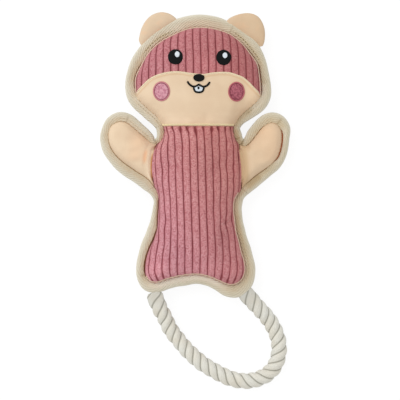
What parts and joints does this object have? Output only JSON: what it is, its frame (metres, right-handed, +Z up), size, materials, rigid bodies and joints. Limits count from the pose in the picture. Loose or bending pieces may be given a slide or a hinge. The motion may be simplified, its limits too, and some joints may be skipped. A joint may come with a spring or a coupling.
{
  "type": "dog toy",
  "caption": "Flat stuffed animal dog toy lying face up, with ribbed cloth head and belly, smooth arms and muzzle, rounded ears, folded edge tape and a twisted rope loop for a tail.",
  "frame": {"origin": "on the flat of the body's back, under the middle of the body, where the toy rests on the ground", "axes": "+Z up towards the face and belly, +Y from the body towards the head, +X across towards the toy's right side as the picture shows it"},
  "size_m": [0.1613, 0.3193, 0.0362],
  "materials": {
    "corduroy": "pink jumbo corduroy",
    "suede": "peach suede cloth",
    "tape": "beige ribbed binding tape",
    "filling": "white fibre filling",
    "rope": "off-white twisted cotton",
    "black_thread": "black embroidery thread",
    "white_thread": "white embroidery thread",
    "pink_thread": "pink embroidery thread",
    "red_thread": "dusky red embroidery thread",
    "pale_thread": "cream edging thread",
    "squeaker_plastic": "soft white plastic"
  },
  "bodies": {
    "torso": {"belly_panel": "corduroy", "body_back_panel": "corduroy", "body_stuffing_front": "filling", "body_stuffing_back": "filling", "neck_binding_left": "tape", "neck_binding_right": "tape", "hem_binding": "tape", "squeaker_bulb": "squeaker_plastic", "squeaker_reed": "squeaker_plastic"},
    "head": {"forehead_panel": "corduroy", "muzzle_panel": "suede", "head_back_panel": "corduroy", "head_stuffing": "filling", "head_binding": "tape", "eye_left": "black_thread", "eye_right": "black_thread", "eye_glint_left": "white_thread", "eye_glint_right": "white_thread", "cheek_left": "pink_thread", "cheek_right": "red_thread", "cheek_stitch_left": "red_thread", "cheek_stitch_right": "red_thread", "nose": "black_thread", "mouth_line": "black_thread", "teeth": "white_thread", "muzzle_top_stitch": "pale_thread", "muzzle_neck_stitch": "pale_thread"},
    "arm_left": {"arm_left_front_panel": "suede", "arm_left_back_panel": "suede", "arm_left_stuffing": "filling", "arm_left_binding": "tape"},
    "arm_right": {"arm_right_front_panel": "suede", "arm_right_back_panel": "suede", "arm_right_stuffing": "filling", "arm_right_binding": "tape"},
    "ear_left": {"ear_left_front": "suede", "ear_left_back": "suede"},
    "ear_right": {"ear_right_front": "suede", "ear_right_back": "suede"},
    "tail": {"tail_rope": "rope"}
  },
  "joints": [
    {"name": "neck_bend", "type": "hinge", "parent": "torso", "child": "head", "pos_m": [0, 0.068, 0.01385], "axis": [1, 0, 0], "range_deg": [-20, 20], "stiffness_Nm_per_rad": 0.3},
    {"name": "arm_left_flap", "type": "hinge", "parent": "torso", "child": "arm_left", "pos_m": [-0.0365, 0.03, 0.01385], "axis": [0, 1, 0], "range_deg": [-30, 30], "stiffness_Nm_per_rad": 0.05},
    {"name": "arm_right_flap", "type": "hinge", "parent": "torso", "child": "arm_right", "pos_m": [0.0365, 0.03, 0.01385], "axis": [0, -1, 0], "range_deg": [-30, 30], "stiffness_Nm_per_rad": 0.05},
    {"name": "ear_left_flop", "type": "hinge", "parent": "head", "child": "ear_left", "pos_m": [-0.03468, 0.15016, 0.01385], "axis": [0.848, 0.53, 0], "range_deg": [-45, 45], "stiffness_Nm_per_rad": 0.005},
    {"name": "ear_right_flop", "type": "hinge", "parent": "head", "child": "ear_right", "pos_m": [0.04075, 0.14833, 0.01385], "axis": [0.8222, -0.5693, 0], "range_deg": [-45, 45], "stiffness_Nm_per_rad": 0.005},
    {"name": "tail_swing", "type": "hinge", "parent": "torso", "child": "tail", "pos_m": [-0.0354, -0.0804, 0.01385], "axis": [-0.9998, -0.0188, 0], "range_deg": [-55, 80]}
  ]
}
